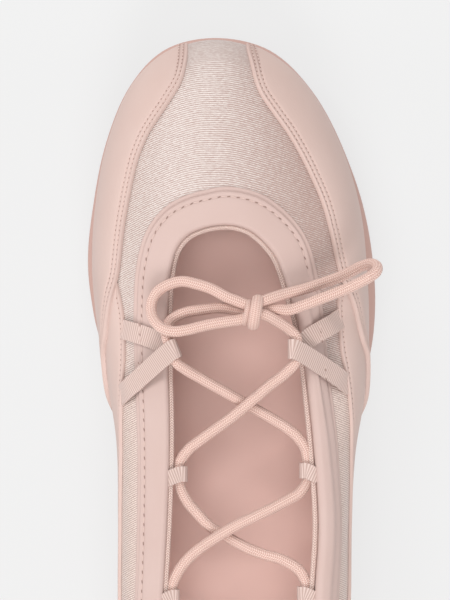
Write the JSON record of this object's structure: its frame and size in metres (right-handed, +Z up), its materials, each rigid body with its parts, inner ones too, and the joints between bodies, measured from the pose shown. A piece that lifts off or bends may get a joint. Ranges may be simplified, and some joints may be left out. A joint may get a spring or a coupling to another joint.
{
  "type": "ballet flat shoe",
  "caption": "Low ballet flat for the right foot with a laced throat, ribbon loops, a cord bow, leather side panels, a padded collar band and a moulded rubber cup sole.",
  "frame": {"origin": "centre of the sole's box, on the floor", "axes": "+Y towards the toe, +X towards the outer side of the foot, +Z up from the floor"},
  "size_m": [0.0917, 0.2557, 0.0705],
  "materials": {
    "sole_rubber": "matte moulded rubber",
    "sock_lining": "smooth matte sock lining",
    "ribbed_textile": "fine ribbed faille with a soft sheen",
    "smooth_leather": "smooth satin leather",
    "grosgrain_ribbon": "ribbed grosgrain",
    "braided_cord": "round braided cord"
  },
  "bodies": {
    "root": {"outsole": "sole_rubber", "insole": "sock_lining", "upper": "ribbed_textile", "collar_band": "smooth_leather", "mudguard_lateral": "smooth_leather", "mudguard_medial": "smooth_leather", "quarter_overlay": "smooth_leather", "lace": "braided_cord", "bow_loop_medial": "braided_cord", "bow_loop_lateral": "braided_cord", "bow_strand_medial": "braided_cord", "bow_strand_lateral": "braided_cord", "bow_knot": "braided_cord", "front_loop_medial": "grosgrain_ribbon", "front_loop_lateral": "grosgrain_ribbon", "middle_loop_medial": "grosgrain_ribbon", "middle_loop_lateral": "grosgrain_ribbon", "back_loop_medial": "grosgrain_ribbon", "back_loop_lateral": "grosgrain_ribbon"}
  },
  "joints": []
}
